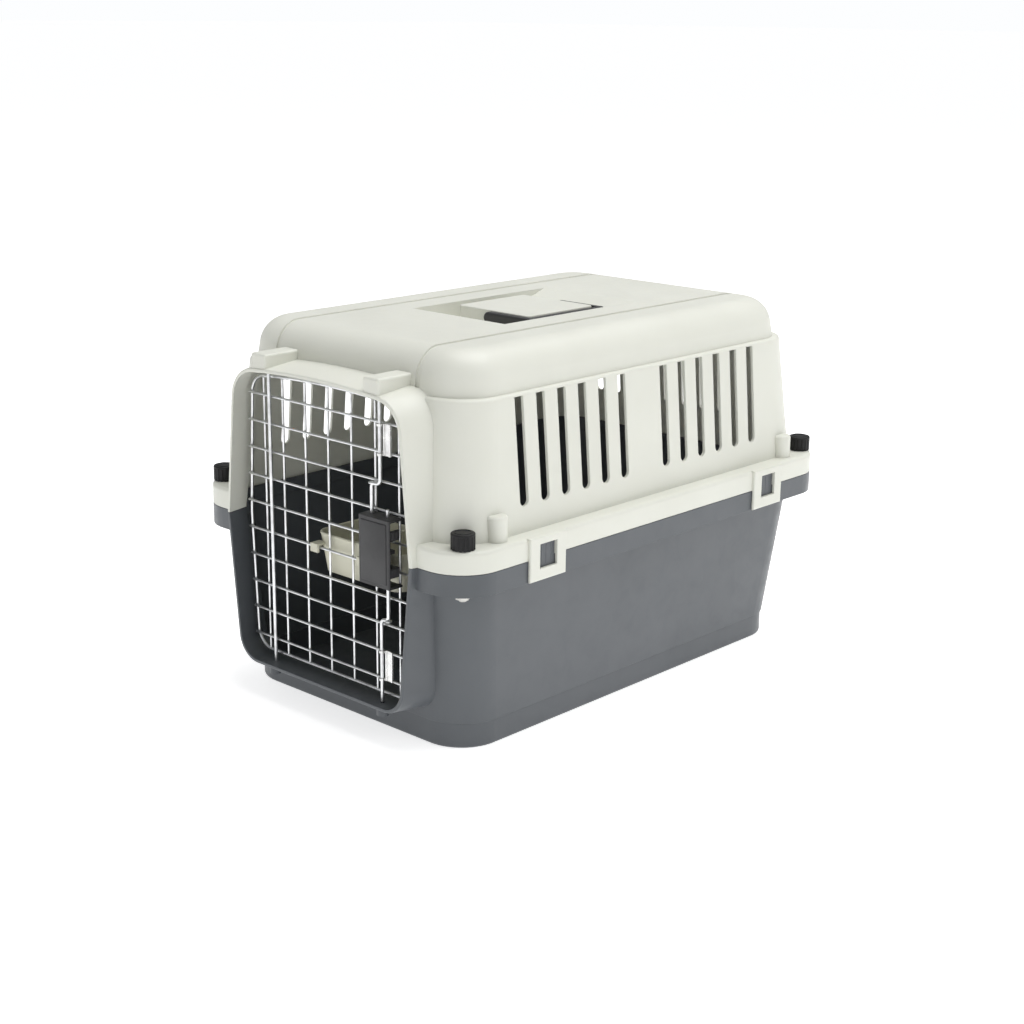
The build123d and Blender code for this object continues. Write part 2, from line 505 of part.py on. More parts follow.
def top_shell():
    """The upper cover with its rim band, dome, vents, pin blocks, clips and handle recess."""
    walls = body_block(UP_LOW_Z, SHOULDER_Z)
    walls = fillet(walls.faces().sort_by(Axis.Z)[-1].edges(), SHOULDER_R)
    shell = walls + dome_block(0)
    shell += rim_band(UP_LOW_Z, RIM_TOP_Z)
    shell += rounded_hood() & half_space(UP_LOW_Z, ROOF_Z)
    for side in (-1, 1):
        x = side * ROD_X
        block = brick((x - BLOCK_W / 2, x + BLOCK_W / 2),
                      (HOOD_FRONT_Y + BLOCK_SET, HOOD_FRONT_Y + BLOCK_SET + BLOCK_L + DOME_STEP),
                      (HOOD_TOP_Z - 4, BLOCK_Z))
        shell += fillet(block.faces().sort_by(Axis.Z)[-1].edges() + block.edges().filter_by(Axis.Z), BLOCK_EDGE_R)
        for y in POST_YS:
            boss = post(side * (BODY_W / 2 - POST_SINK), y, POST_R, RIM_TOP_Z - HIDDEN_LAP, RIM_TOP_Z + POST_H)
            shell += fillet(boss.faces().sort_by(Axis.Z)[-1].edges(), POST_EDGE_R)
    rim_hollow = prism(UP_LOW_Z - 1, RIM_TOP_Z - RIM_T, RIM_HALF_W - RIM_T, RIM_HALF_L - RIM_T, RIM_R - RIM_T)
    shell -= rim_hollow - body_block(UP_LOW_Z - 2, SHOULDER_Z) - hood_block(0)
    for x, y in SCREWS.values():
        shell += post(x, y, BOSS_R, UP_LOW_Z, RIM_TOP_Z - RIM_T + HIDDEN_LAP)
    shell -= body_block(UP_LOW_Z - 1, SHOULDER_Z - WALL, WALL)
    shell -= dome_block(WALL)
    for side in (-1, 1):
        shell -= roof_groove(side)
    shell -= hood_block(HOOD_T, 5, 0)
    shell += recess_block(WALL, 0)
    shell -= recess_block(0, 5)
    pad = brick((-PAD_HALF_W, PAD_HALF_W), (RECESS_Y - PAD_HALF_L, RECESS_Y + PAD_HALF_L),
                (RECESS_Z - HIDDEN_LAP, ROOF_Z))
    pad = fillet(pad.edges().filter_by(Axis.Z), PAD_CORNER_R)
    shell += fillet(pad.faces().sort_by(Axis.Z)[-1].edges(), PAD_EDGE_R)
    shell -= brick((-PAD_HALF_W + WALL, PAD_HALF_W - WALL),
                   (RECESS_Y - PAD_HALF_L + WALL, RECESS_Y + PAD_HALF_L - WALL),
                   (RECESS_Z - 10, ROOF_Z - WALL))
    for end in (-1, 1):
        face_y = RECESS_Y + end * PAD_HALF_L
        ys = sorted((face_y - end * (WALL - HIDDEN_LAP), face_y - end * HANDLE_PIN_IN))
        shell += bar_y(0, HANDLE_PIVOT_Z, HANDLE_BOSS_R, ys[0], ys[1])
        ys = sorted((face_y + end * 1.0, face_y - end * HANDLE_PIN_IN))
        shell -= bar_y(0, HANDLE_PIVOT_Z, HANDLE_PIN_R, ys[0], ys[1])
    for side in (-1, 1):
        for y in TONGUE_YS:
            outer_x = RIM_HALF_W + TONGUE_GAP + TONGUE_T
            tongue = brick((RIM_HALF_W - RIM_T, outer_x), tongue_span(y), (SEAM_Z - TONGUE_DROP, RIM_TOP_Z))
            tongue = fillet(tongue.faces().sort_by(Axis.X)[-1].edges(), TONGUE_EDGE_R)
            tongue -= brick((0, RIM_HALF_W + TONGUE_GAP), (y - TONGUE_W, y + TONGUE_W), (0, UP_LOW_Z))
            shell += tongue if side > 0 else mirror(tongue, Plane.YZ)
            window = brick((RIM_HALF_W - RIM_T - 1, RIM_HALF_W + 10), window_span(y), WINDOW_Z)
            shell -= window if side > 0 else mirror(window, Plane.YZ)
        for y in SIDE_VENT_YS:
            shell -= vent(y, side)
    for x, y in ((-ROD_X, HINGE_Y), (ROD_X, ROD_Y)):
        shell -= post(x, y, ROD_R + ROD_CLEAR, HOOD_TOP_Z - 15, SOCKET_TOP_Z)
    for i in range(REAR_VENT_COUNT):
        shell -= rear_vent((i - (REAR_VENT_COUNT - 1) / 2) * REAR_VENT_PITCH)
    for x, y in SCREWS.values():
        shell -= post(x, y, SCREW_R + SCREW_CLEAR, UP_LOW_Z - 1, RIM_TOP_Z + 1)
    return shell


def door_outline():
    """The border wire's centre line: leaning sides, crowned top, round corners."""
    low_half = DOOR_HALF_W - DOOR_DRAFT * (SEAM_Z - DOOR_LOW_Z)
    top_half = DOOR_HALF_W - DOOR_DRAFT * (DOOR_TOP_Z - SEAM_Z)
    edges = [
        Line((-low_half, DOOR_LOW_Z), (low_half, DOOR_LOW_Z)),
        Line((low_half, DOOR_LOW_Z), (DOOR_HALF_W, SEAM_Z)),
        Line((DOOR_HALF_W, SEAM_Z), (top_half, DOOR_TOP_Z)),
        ThreePointArc((top_half, DOOR_TOP_Z), (0, DOOR_TOP_Z + DOOR_CROWN), (-top_half, DOOR_TOP_Z)),
        Line((-top_half, DOOR_TOP_Z), (-DOOR_HALF_W, SEAM_Z)),
        Line((-DOOR_HALF_W, SEAM_Z), (-low_half, DOOR_LOW_Z)),
    ]
    face = make_face(Curve() + edges)
    face = fillet([v for v in face.vertices() if abs(v.Y - SEAM_Z) > 50], DOOR_CORNER_R)
    face = fillet([v for v in face.vertices() if abs(v.Y - SEAM_Z) < 1], 60)
    return Plane((0, FRAME_Y, 0), x_dir=(1, 0, 0), z_dir=(0, -1, 0)) * face


def door_frame():
    """The border wire, bent to the door's outline."""
    path = door_outline().faces()[0].outer_wire()
    start = path @ 0
    section = Plane(origin=start, z_dir=path % 0) * Circle(FRAME_R)
    return sweep(section, path=path)


def door_half_width(z):
    return DOOR_HALF_W - DOOR_DRAFT * abs(z - SEAM_Z)


def door_columns():
    """The upright wires, ending on the border wire."""
    inside = offset(door_outline(), amount=WELD - FRAME_R)
    room = extrude(inside, amount=10, both=True)
    wires = [post(x, COLUMN_Y, WIRE_R, DOOR_LOW_Z, DOOR_TOP_Z + DOOR_CROWN) & room for x in WIRE_XS]
    return Compound(children=[s for wire in wires for s in wire.solids()])


def row_solid(z):
    half = door_half_width(z) + FRAME_R * 0.6
    return bar_x(ROW_Y, z, WIRE_R, -half, half)


def door_rows():
    """The cross wires, welded over the uprights and the border wire."""
    return Compound(children=[row_solid(z) for z in ROW_ZS])


def hinge_rod():
    """The straight rod that the door swings on, in a socket of each shell."""
    return post(-ROD_X, HINGE_Y, ROD_R, HINGE_LOW_Z, HINGE_TOP_Z)


def latch_case():
    """The latch case: front, inner side, ends and rib, open at the outer side for fingers."""
    case = brick(CASE_X, (CASE_FRONT_Y, CASE_BACK_Y), CASE_Z)
    case = fillet(case.edges().filter_by(Axis.Z).group_by(Axis.Y)[0], 1.5)
    case -= brick((CASE_X[0] + CASE_T, CASE_X[1] + 1), (CASE_FRONT_Y + CASE_T, CASE_BACK_Y + 1),
                  (CASE_Z[0] + CASE_T, CASE_Z[1] - CASE_T))
    case += brick((CASE_X[0] + CASE_T / 2, LOWER_TAIL_X + RIB_END), (CASE_FRONT_Y + CASE_T / 2, ROW_FRONT_Y + WELD),
                  (CASE_MID_Z - RIB_T / 2, CASE_MID_Z + RIB_T / 2))
    for x in (UPPER_TAIL_X, LOWER_TAIL_X):
        case -= post(x, ROD_Y, ROD_R + ROD_CLEAR, CASE_Z[0] - 1, CASE_Z[1] + 1)
    for z in ROW_ZS:
        if CASE_Z[0] < z < CASE_Z[1]:
            case -= row_solid(z)
    return case


def bolt_rod(upper):
    """A bent bolt rod: its tip by the surround, a jog beside it, and its tail in the case."""
    tip_x = ROD_X
    tail_x = UPPER_TAIL_X if upper else LOWER_TAIL_X
    jog_z = UPPER_JOG_Z if upper else LOWER_JOG_Z
    if upper:
        arch = hood_top_inside(ROD_X)
        tip_z = arch - BOLT_CLEAR
        tail_z = CASE_Z[0] + UPPER_TAIL_END
    else:
        tip_z = HOOD_LOW_Z + HOOD_T + BOLT_CLEAR
        tail_z = CASE_Z[1] + LOWER_TAIL_END
    path = FilletPolyline(
        (tip_x, ROD_Y, tip_z), (tip_x, ROD_Y, jog_z), (tail_x, ROD_Y, jog_z), (tail_x, ROD_Y, tail_z),
        radius=BEND_R)
    section = Plane(origin=path @ 0, z_dir=path % 0) * Circle(ROD_R)
    return sweep(section, path=path)


def hood_top_inside(x):
    """Height of the surround's inner top face at x, over the rods."""
    along = (ROD_Y - HOOD_FRONT_Y) / HOOD_DEPTH
    top = HOOD_TOP_Z + HOOD_RISE * along - HOOD_T
    half = HOOD_HALF_W + HOOD_FLARE * along - HOOD_T
    top_half = half - HOOD_DRAFT * (top - SEAM_Z)
    radius = (top_half ** 2 + HOOD_CROWN ** 2) / (2 * HOOD_CROWN)
    return top + HOOD_CROWN - radius + math.sqrt(radius ** 2 - x ** 2)


def finger_pad(upper):
    """A finger pad fixed on a bolt rod, with a clear hole for the other rod."""
    own_x = UPPER_TAIL_X if upper else LOWER_TAIL_X
    other_x = LOWER_TAIL_X if upper else UPPER_TAIL_X
    edge = CASE_MID_Z + (RIB_T / 2 + SPRING_LEN) * (1 if upper else -1)
    zs = sorted((edge, edge + (PAD_T if upper else -PAD_T)))
    ys = (CASE_FRONT_Y + CASE_T + PAD_FRONT_GAP, ROW_FRONT_Y - PAD_GAP)
    free_x = CASE_X[1] - PAD_SET
    turned = (zs[0], zs[1] + PAD_TURN) if upper else (zs[0] - PAD_TURN, zs[1])
    pad = brick((CASE_X[0] + CASE_T + PAD_GAP, free_x), ys, zs)
    pad += brick((free_x - PAD_TURN_T, free_x), ys, turned)
    pad -= post(own_x, ROD_Y, ROD_R, zs[0] - 1, zs[1] + 1)
    pad -= post(other_x, ROD_Y, ROD_R + PAD_ROD_CLEAR, zs[0] - 1, zs[1] + 1)
    return pad


def latch_spring(upper):
    """A compression spring around a bolt rod, between the case's rib and the finger pad."""
    x = UPPER_TAIL_X if upper else LOWER_TAIL_X
    length = SPRING_LEN - 2 * SPRING_WIRE_R
    start = CASE_MID_Z + (RIB_T / 2 + SPRING_WIRE_R if upper else -RIB_T / 2 - SPRING_WIRE_R - length)
    path = Pos(x, ROD_Y, start) * Helix(pitch=length / SPRING_TURNS, height=length, radius=SPRING_MEAN_R)
    section = Plane(origin=path @ 0, z_dir=path % 0) * Circle(SPRING_WIRE_R)
    return sweep(section, path=path, is_frenet=True)


def rod_guide(zs):
    """A pressed plate welded to the grid, with two tabs looped around the bolt rod."""
    back_y = ROW_FRONT_Y + PLATE_WELD
    x0 = ROD_X + ROD_R + GUIDE_ROD_GAP
    plate = brick((x0, x0 + GUIDE_W), (back_y - GUIDE_T, back_y), zs)
    for x in (x0 + GUIDE_T, x0 + GUIDE_W - GUIDE_T):
        plate += post(x, back_y - GUIDE_T, GUIDE_T, zs[0], zs[1])
    for z in (zs[0], zs[1] - GUIDE_TAB):
        tab = post(ROD_X, ROD_Y, ROD_R + TAB_T, z, z + GUIDE_TAB)
        tab += brick((ROD_X, x0 + HIDDEN_LAP), (back_y - GUIDE_T, back_y), (z, z + GUIDE_TAB))
        plate += tab & brick((0, 200), (-400, back_y), (z, z + GUIDE_TAB))
    plate -= post(ROD_X, ROD_Y, ROD_R + ROD_CLEAR, zs[0] - 1, zs[1] + 1)
    return plate


def hand_knob(x, y):
    """A fluted hand knob moulded around the head of its screw."""
    low = RIM_TOP_Z + KNOB_LIFT
    knob = post(x, y, KNOB_R, low, low + KNOB_H)
    knob = fillet(knob.edges().filter_by(GeomType.CIRCLE).sort_by(Axis.Z)[-1], 1.2)
    for i in range(KNOB_RIBS):
        angle = 2 * math.pi * i / KNOB_RIBS
        knob -= post(x + (KNOB_R + 0.5) * math.cos(angle), y + (KNOB_R + 0.5) * math.sin(angle),
                     FLUTE_R, low - 1, low + KNOB_H - 2)
    knob -= post(x, y, SCREW_R, low - 1, low + KNOB_GRIP)
    return knob


def rim_screw(x, y):
    """A screw from the knob down through both rims and the nut."""
    return post(x, y, SCREW_R, RIM_LOW_Z - SCREW_TAIL, RIM_TOP_Z + KNOB_LIFT + KNOB_GRIP)


def rim_nut(x, y):
    """The hexagon nut under the lower rim boss."""
    top = RIM_LOW_Z + 0.5
    nut = Pos(x, y, top - NUT_H) * extrude(RegularPolygon(NUT_AF / 2, 6, major_radius=False), NUT_H)
    return nut - post(x, y, SCREW_R + SCREW_CLEAR, top - NUT_H - 1, top + 1)


def carry_handle():
    """The folding handle, lying in the recess around the platform's right side."""
    half = HANDLE_ARM_Y + HANDLE_ARM_T
    z = (HANDLE_PIVOT_Z - HANDLE_T / 2, HANDLE_PIVOT_Z + HANDLE_T / 2)
    body = brick((0, HANDLE_REACH), (RECESS_Y - half, RECESS_Y + half), z)
    body -= brick((-1, HANDLE_REACH - HANDLE_GRIP_W), (RECESS_Y - HANDLE_ARM_Y, RECESS_Y + HANDLE_ARM_Y),
                  (z[0] - 1, z[1] + 1))
    for end in (-1, 1):
        ys = sorted((RECESS_Y + end * HANDLE_ARM_Y, RECESS_Y + end * half))
        body += bar_y(0, HANDLE_PIVOT_Z, HANDLE_T / 2, ys[0], ys[1])
    body = fillet(body.edges().filter_by(Axis.Z).sort_by(Axis.X)[-2:], HANDLE_CORNER_R)
    long_edges = body.edges().filter_by(Axis.Y).sort_by(Axis.X)[-4:]
    body = fillet(long_edges, HANDLE_EDGE_R)
    for end in (-1, 1):
        ys = sorted((RECESS_Y + end * (HANDLE_ARM_Y - 1), RECESS_Y + end * (half - HANDLE_CAP_T)))
        body -= bar_y(0, HANDLE_PIVOT_Z, HANDLE_PIN_R + HANDLE_PIN_CLEAR, ys[0], ys[1])
    return body


def handle_pin(end):
    """A pin pressed into the platform, which the handle arm turns on."""
    face_y = RECESS_Y + end * PAD_HALF_L
    tip_y = RECESS_Y + end * (HANDLE_ARM_Y + HANDLE_ARM_T - HANDLE_CAP_T - PIN_END_GAP)
    ys = sorted((face_y - end * HANDLE_PIN_IN, tip_y))
    return bar_y(0, HANDLE_PIVOT_Z, HANDLE_PIN_R, ys[0], ys[1])


def feeding_bowl():
    """A twin bowl behind the door, with hooks over one cross wire."""
    front_y = COLUMN_Y + WIRE_R + BOWL_GAP
    low_z = BOWL_TOP_Z - BOWL_H
    mid = ((BOWL_X[0] + BOWL_X[1]) / 2, front_y + BOWL_DEPTH / 2)

    def cut(z, inset, x_mid, width):
        lean_in = (BOWL_TOP_Z - z) * BOWL_DRAFT
        sketch = RectangleRounded(width - 2 * (inset + lean_in), BOWL_DEPTH - 2 * (inset + lean_in / 2),
                                  BOWL_R - inset)
        return Plane.XY.offset(z) * (Pos(x_mid, mid[1]) * sketch)

    body = loft([cut(low_z, 0, mid[0], BOWL_W), cut(BOWL_TOP_Z, 0, mid[0], BOWL_W)], ruled=True)
    cup_w = BOWL_W / 2 + BOWL_WALL / 2
    for end in (-1, 1):
        x_mid = mid[0] + end * (BOWL_W / 2 - cup_w / 2)
        body -= loft([cut(low_z + BOWL_WALL, BOWL_WALL, x_mid, cup_w),
                      cut(BOWL_TOP_Z + 1, BOWL_WALL, x_mid, cup_w)], ruled=True)
    wire_z = ROW_ZS[BOWL_ROW]
    over_z = wire_z + WIRE_R + HOOK_CLEAR
    hook_front = ROW_FRONT_Y - HOOK_CLEAR - HOOK_T
    for x in HOOK_XS:
        xs = (x - HOOK_W / 2, x + HOOK_W / 2)
        body += brick(xs, (hook_front, front_y + BOWL_WALL), (over_z, over_z + HOOK_T))
        body += brick(xs, (hook_front, hook_front + HOOK_T), (wire_z - HOOK_DROP, over_z + HOOK_T))
    return body


PARTS = {
    "bottom_shell": bottom_shell,
    "top_shell": top_shell,
    "door_frame": door_frame,
    "door_columns": door_columns,
    "door_rows": door_rows,
    "hinge_rod": hinge_rod,
    "latch_case": latch_case,
    "bolt_rod_upper": lambda: bolt_rod(True),
    "bolt_rod_lower": lambda: bolt_rod(False),
    "finger_pad_upper": lambda: finger_pad(True),
    "finger_pad_lower": lambda: finger_pad(False),
    "latch_spring_upper": lambda: latch_spring(True),
    "latch_spring_lower": lambda: latch_spring(False),
    "rod_guide_upper": lambda: rod_guide(UPPER_GUIDE_Z),
    "rod_guide_lower": lambda: rod_guide(LOWER_GUIDE_Z),
    "carry_handle": carry_handle,
    "handle_pin_front": lambda: handle_pin(-1),
    "handle_pin_rear": lambda: handle_pin(1),
    "feeding_bowl": feeding_bowl,
}
for corner, (sx, sy) in SCREWS.items():
    PARTS["knob_" + corner] = lambda x=sx, y=sy: hand_knob(x, y)
    PARTS["screw_" + corner] = lambda x=sx, y=sy: rim_screw(x, y)
    PARTS["nut_" + corner] = lambda x=sx, y=sy: rim_nut(x, y)

os.makedirs("parts", exist_ok=True)
for name, make in PARTS.items():
    solid = make()
    solid.label = name
    export_step(solid, "parts/" + name + ".step")
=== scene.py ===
"""Pet transport carrier: finishes, moulded and metal details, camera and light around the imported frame."""
from __future__ import annotations

import json
import logging
import math
from dataclasses import dataclass
from enum import Enum

import bmesh
import bpy
from mathutils import Matrix, Vector

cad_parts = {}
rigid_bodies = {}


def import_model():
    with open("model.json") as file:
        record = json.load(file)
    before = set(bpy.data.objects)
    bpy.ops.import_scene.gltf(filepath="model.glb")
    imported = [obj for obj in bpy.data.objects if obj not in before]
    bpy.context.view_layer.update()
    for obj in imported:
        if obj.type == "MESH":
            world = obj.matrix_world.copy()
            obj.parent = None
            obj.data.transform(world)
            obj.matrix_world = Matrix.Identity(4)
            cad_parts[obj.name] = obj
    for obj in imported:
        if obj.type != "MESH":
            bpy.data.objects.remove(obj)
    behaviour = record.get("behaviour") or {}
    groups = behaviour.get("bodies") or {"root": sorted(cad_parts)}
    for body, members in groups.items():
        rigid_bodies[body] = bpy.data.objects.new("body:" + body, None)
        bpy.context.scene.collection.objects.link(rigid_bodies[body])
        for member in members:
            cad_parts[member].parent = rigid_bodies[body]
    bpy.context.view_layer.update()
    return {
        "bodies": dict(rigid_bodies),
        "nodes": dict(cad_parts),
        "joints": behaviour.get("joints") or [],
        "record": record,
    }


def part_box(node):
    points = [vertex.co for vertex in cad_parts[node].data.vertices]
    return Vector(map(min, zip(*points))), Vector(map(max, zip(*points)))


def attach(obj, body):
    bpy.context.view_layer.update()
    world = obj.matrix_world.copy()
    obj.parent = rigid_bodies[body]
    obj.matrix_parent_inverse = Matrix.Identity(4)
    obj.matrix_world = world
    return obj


log = logging.getLogger("carrier")

MM = 0.001
CORNERS = ("front_left", "front_right", "rear_left", "rear_right")
SMOOTH_WITHIN = math.radians(35)   # faces that meet at less than this shade as one
COIL_STEPS = 24                    # straight steps in one turn of a coil
BAR_SIDES = 12
Point = tuple[float, float, float]
Colour = tuple[float, float, float]
Sizes = dict[str, float | int | Point]


# ---------------------------------------------------------------- node helpers
class Nodes:
    """A node tree that is filled by short calls."""

    def __init__(self, tree: bpy.types.NodeTree) -> None:
        """Takes over a tree.

        Args:
            tree: the shader or geometry tree to fill.
        """
        self.tree = tree

    def add(self, kind: str, values: dict | None = None, **settings: object) -> bpy.types.Node:
        """Adds a node.

        Args:
            kind: the node's type name.
            values: socket name or index to its constant.
            **settings: attributes of the node itself.

        Returns:
            The new node.
        """
        node = self.tree.nodes.new(kind)
        for key, value in settings.items():
            setattr(node, key, value)
        for key, value in (values or {}).items():
            node.inputs[key].default_value = value
        return node

    def link(self, source: bpy.types.NodeSocket, target: bpy.types.NodeSocket) -> None:
        """Joins two sockets."""
        self.tree.links.new(source, target)


# ---------------------------------------------------------------- finishes
class Grain(Enum):
    """Surface textures of a moulded part, as (feature size in mm, depth in mm)."""

    POLISHED = (3.0, 0.004)
    SATIN = (0.9, 0.012)
    SPARK = (0.55, 0.028)


@dataclass(frozen=True)
class MouldedPlastic:
    """A moulded plastic: base tint with faint flow clouds, tool grain and handling scuffs."""

    name: str
    tint: Colour
    shade: Colour
    roughness: float
    grain: Grain
    edge_mm: float = 0.0
    scuff: float = 0.10
    cloud_mm: float = 90.0
    specular: float = 0.45
    translucency: float = 0.0
    scatter_tint: Colour = (1.0, 0.9, 0.7)
    scatter_mm: float = 4.0

    def material(self) -> bpy.types.Material:
        """Builds the shader.

        Returns:
            The finished material.
        """
        material, nodes, shader = new_surface(self.name)
        place = nodes.add("ShaderNodeTexCoord").outputs["Object"]
        shader.inputs["Specular IOR Level"].default_value = self.specular
        shader.inputs["Subsurface Weight"].default_value = self.translucency
        shader.inputs["Subsurface Radius"].default_value = self.scatter_tint
        shader.inputs["Subsurface Scale"].default_value = self.scatter_mm * MM
        cloud = nodes.add("ShaderNodeTexNoise", {"Scale": 1 / (self.cloud_mm * MM), "Detail": 3.0})
        nodes.link(place, cloud.inputs["Vector"])
        tint = nodes.add("ShaderNodeMix", {6: (*self.shade, 1), 7: (*self.tint, 1)}, data_type="RGBA")
        spread = nodes.add("ShaderNodeMapRange", {"From Min": 0.35, "From Max": 0.62})
        nodes.link(cloud.outputs["Fac"], spread.inputs["Value"])
        nodes.link(spread.outputs["Result"], tint.inputs["Factor"])
        nodes.link(tint.outputs[2], shader.inputs["Base Color"])
        rub = nodes.add("ShaderNodeTexNoise", {
            "Scale": 55.0, "Detail": 5.0, "Roughness": 0.65, "Distortion": 0.6})
        nodes.link(place, rub.inputs["Vector"])
        rough = nodes.add("ShaderNodeMapRange", {
            "From Min": 0.35, "From Max": 0.70,
            "To Min": self.roughness - self.scuff / 2, "To Max": self.roughness + self.scuff})
        nodes.link(rub.outputs["Fac"], rough.inputs["Value"])
        nodes.link(rough.outputs["Result"], shader.inputs["Roughness"])
        size_mm, depth_mm = self.grain.value
        grain = nodes.add("ShaderNodeTexNoise", {
            "Scale": 1 / (size_mm * MM), "Detail": 2.0, "Roughness": 0.6})
        nodes.link(place, grain.inputs["Vector"])
        bump = nodes.add("ShaderNodeBump", {"Strength": 0.8, "Distance": depth_mm * MM})
        nodes.link(grain.outputs["Fac"], bump.inputs["Height"])
        if self.edge_mm > 0:
            soft = nodes.add("ShaderNodeBevel", {"Radius": self.edge_mm * MM}, samples=4)
            nodes.link(soft.outputs["Normal"], bump.inputs["Normal"])
        nodes.link(bump.outputs["Normal"], shader.inputs["Normal"])
        return material


@dataclass(frozen=True)
class PlatedSteel:
    """Plated steel: bright metal with drawn streaks along one axis and small dull patches."""

    name: str
    tint: Colour
    roughness: float
    streak_axis: int = 2
    streak_mm: float = 0.5
    streak_draw: float = 0.04   # the pattern's scale along the streaks
    dull: float = 0.12
    worn_shade: float = 0.72

    def material(self) -> bpy.types.Material:
        """Builds the shader.

        Returns:
            The finished material.
        """
        material, nodes, shader = new_surface(self.name)
        shader.inputs["Metallic"].default_value = 1.0
        place = nodes.add("ShaderNodeTexCoord").outputs["Object"]
        stretch = [1.0, 1.0, 1.0]
        stretch[self.streak_axis] = self.streak_draw
        mapping = nodes.add("ShaderNodeMapping", {"Scale": stretch})
        nodes.link(place, mapping.inputs["Vector"])
        streak = nodes.add("ShaderNodeTexNoise", {"Scale": 1 / (self.streak_mm * MM), "Detail": 3.0})
        nodes.link(mapping.outputs["Vector"], streak.inputs["Vector"])
        patch = nodes.add("ShaderNodeTexNoise", {"Scale": 70.0, "Detail": 4.0, "Roughness": 0.6})
        nodes.link(place, patch.inputs["Vector"])
        worn = nodes.add("ShaderNodeMapRange", {"From Min": 0.42, "From Max": 0.68})
        nodes.link(patch.outputs["Fac"], worn.inputs["Value"])
        dark = tuple(self.worn_shade * channel for channel in self.tint)
        tint = nodes.add("ShaderNodeMix", {6: (*self.tint, 1), 7: (*dark, 1)}, data_type="RGBA")
        nodes.link(worn.outputs["Result"], tint.inputs["Factor"])
        nodes.link(tint.outputs[2], shader.inputs["Base Color"])
        rough = nodes.add("ShaderNodeMapRange", {
            "To Min": self.roughness, "To Max": self.roughness + self.dull})
        nodes.link(patch.outputs["Fac"], rough.inputs["Value"])
        nodes.link(rough.outputs["Result"], shader.inputs["Roughness"])
        bump = nodes.add("ShaderNodeBump", {"Strength": 0.5, "Distance": 0.01 * MM})
        nodes.link(streak.outputs["Fac"], bump.inputs["Height"])
        nodes.link(bump.outputs["Normal"], shader.inputs["Normal"])
        return material


def new_surface(name: str) -> tuple[bpy.types.Material, Nodes, bpy.types.Node]:
    """Starts a material with one surface shader.

    Args:
        name: the material's name.

    Returns:
        The material, its node helper and its surface shader.
    """
    material = bpy.data.materials.new(name)
    material.use_nodes = True
    nodes = Nodes(material.node_tree)
    shader = next(n for n in material.node_tree.nodes if n.type == "BSDF_PRINCIPLED")
    return material, nodes, shader


@dataclass(frozen=True)
class Finishes:
    """Every material of the carrier, built once."""

    cream: bpy.types.Material
    grey: bpy.types.Material
    black: bpy.types.Material
    latch: bpy.types.Material
    handle: bpy.types.Material
    bowl: bpy.types.Material
    wire: bpy.types.Material
    cross_wire: bpy.types.Material
    plate: bpy.types.Material
    spring: bpy.types.Material
    screw: bpy.types.Material

    @classmethod
    def build(cls) -> "Finishes":
        """Builds the set.

        Returns:
            The finishes, one field each.
        """
        zinc = (0.78, 0.79, 0.80)
        return cls(
            cream=MouldedPlastic("cream_polypropylene", (0.73, 0.735, 0.665), (0.705, 0.71, 0.64), 0.40,
                                 Grain.SATIN, edge_mm=0.9, translucency=0.04).material(),
            grey=MouldedPlastic("slate_polypropylene", (0.097, 0.106, 0.116), (0.089, 0.098, 0.107), 0.36,
                                Grain.SATIN, edge_mm=0.9, scuff=0.12).material(),
            black=MouldedPlastic("black_knob_plastic", (0.012, 0.012, 0.0125), (0.009, 0.009, 0.0095), 0.46,
                                 Grain.SPARK, edge_mm=0.4, specular=0.3).material(),
            latch=MouldedPlastic("charcoal_latch_plastic", (0.040, 0.040, 0.042), (0.033, 0.033, 0.035),
                                 0.46, Grain.SPARK, edge_mm=0.5).material(),
            handle=MouldedPlastic("charcoal_handle_plastic", (0.030, 0.030, 0.031), (0.024, 0.024, 0.025),
                                  0.38, Grain.SATIN, edge_mm=0.4).material(),
            bowl=MouldedPlastic("beige_bowl_plastic", (0.62, 0.61, 0.49), (0.58, 0.57, 0.46), 0.38,
                                Grain.POLISHED, edge_mm=0.5, translucency=0.05).material(),
            wire=PlatedSteel("zinc_upright_wire", zinc, 0.26).material(),
            cross_wire=PlatedSteel("zinc_cross_wire", zinc, 0.26, streak_axis=0).material(),
            plate=PlatedSteel("zinc_sheet", (0.80, 0.80, 0.79), 0.22, streak_mm=0.8).material(),
            spring=PlatedSteel("spring_wire", (0.55, 0.55, 0.56), 0.30).material(),
            screw=PlatedSteel("zinc_screw", (0.70, 0.69, 0.66), 0.32, dull=0.2).material(),
        )


def dress(frame: dict, names: tuple[str, ...], material: bpy.types.Material) -> None:
    """Gives carried-over nodes their finish.

    Args:
        frame: the loaded frame.
        names: the nodes to dress.
        material: the finish.
    """
    for name in names:
        data = frame["nodes"][name].data
        for index in range(len(data.materials)):
            data.materials[index] = material
        log.info("dressed %s with %s", name, material.name)


